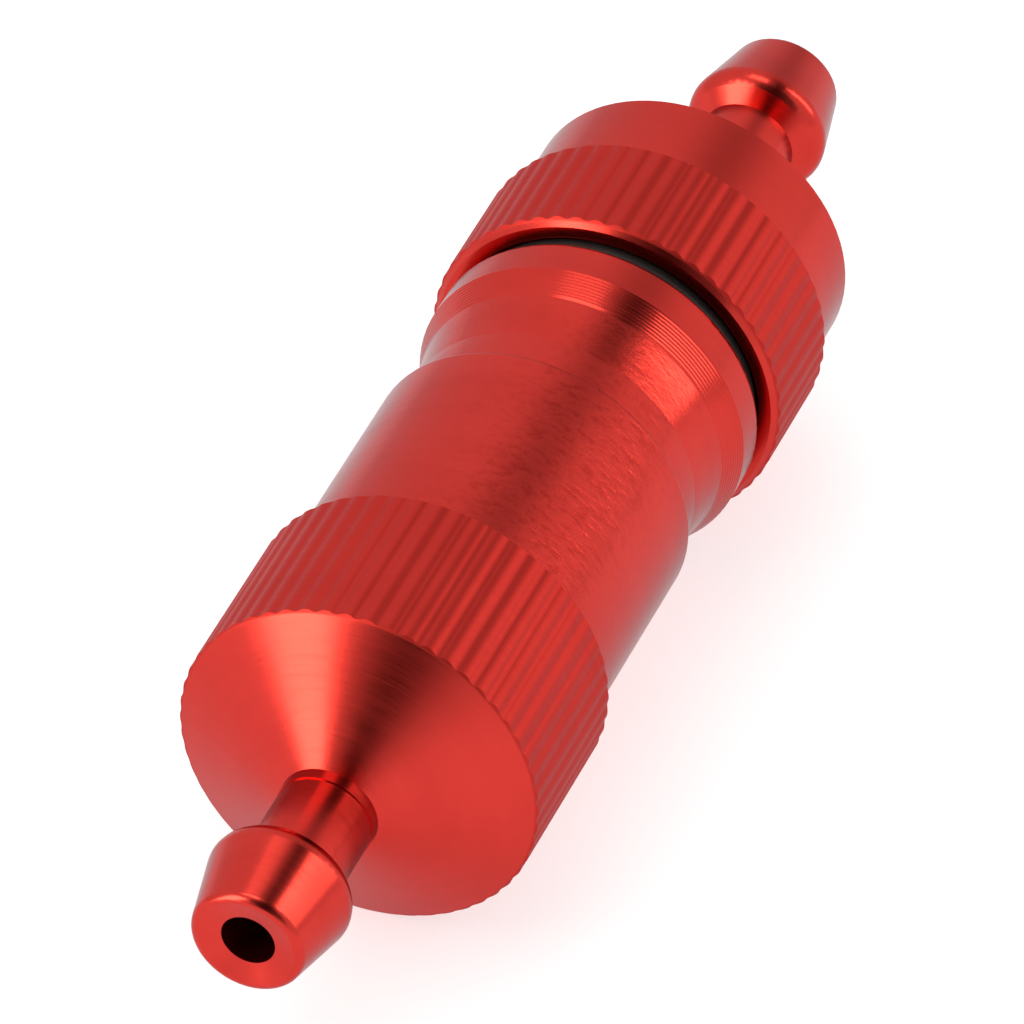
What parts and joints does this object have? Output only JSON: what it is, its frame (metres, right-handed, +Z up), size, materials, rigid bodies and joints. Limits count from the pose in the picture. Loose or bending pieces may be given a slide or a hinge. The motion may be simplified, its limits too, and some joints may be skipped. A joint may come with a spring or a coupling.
{
  "type": "inline fuel filter",
  "caption": "Small inline fuel filter for a model or small engine: barbed turned body and knurled screw cap around a removable screen cartridge.",
  "frame": {"origin": "on the flow axis, halfway between the two nipple tips", "axes": "+X along the flow, from the body's inlet nipple to the cap's outlet nipple; +Z up with the filter lying on its knurls"},
  "size_m": [0.055, 0.0144, 0.0144],
  "materials": {
    "red_anodised_body": "turned and dyed red anodised, satin",
    "red_anodised_cap": "turned and dyed red anodised, satin",
    "black_rubber": "moulded nitrile, matt",
    "gasket_rubber": "cut rubber sheet, matt",
    "core_brass": "drilled brass tube",
    "turned_brass": "turned brass",
    "screen_steel": "woven stainless wire",
    "band_steel": "rolled stainless strip",
    "washer_steel": "stamped stainless",
    "spring_steel": "drawn stainless wire"
  },
  "bodies": {
    "housing": {"filter_body": "red_anodised_body", "body_o_ring": "black_rubber", "cartridge_spring": "spring_steel"},
    "cartridge": {"screen_core": "core_brass", "screen_mesh": "screen_steel", "front_clamp_band": "band_steel", "rear_clamp_band": "band_steel", "screen_end_plug": "turned_brass", "screen_collar": "turned_brass", "spring_washer": "washer_steel"},
    "cap": {"filter_cap": "red_anodised_cap", "collar_gasket": "gasket_rubber"}
  },
  "joints": [
    {"name": "cartridge_slide", "type": "slide", "parent": "housing", "child": "cartridge", "axis": [1, 0, 0], "range_m": [0, 0.0035], "deforming": ["cartridge_spring"]},
    {"name": "cap_thread", "type": "hinge", "parent": "cartridge", "child": "cap", "pos_m": [0.0105, 0, 0], "axis": [1, 0, 0], "range_deg": [0, 1260]}
  ],
  "couplings": [
    {"joint": "cartridge_slide", "follows": "cap_thread", "m_per_rad": 0.00015915}
  ]
}
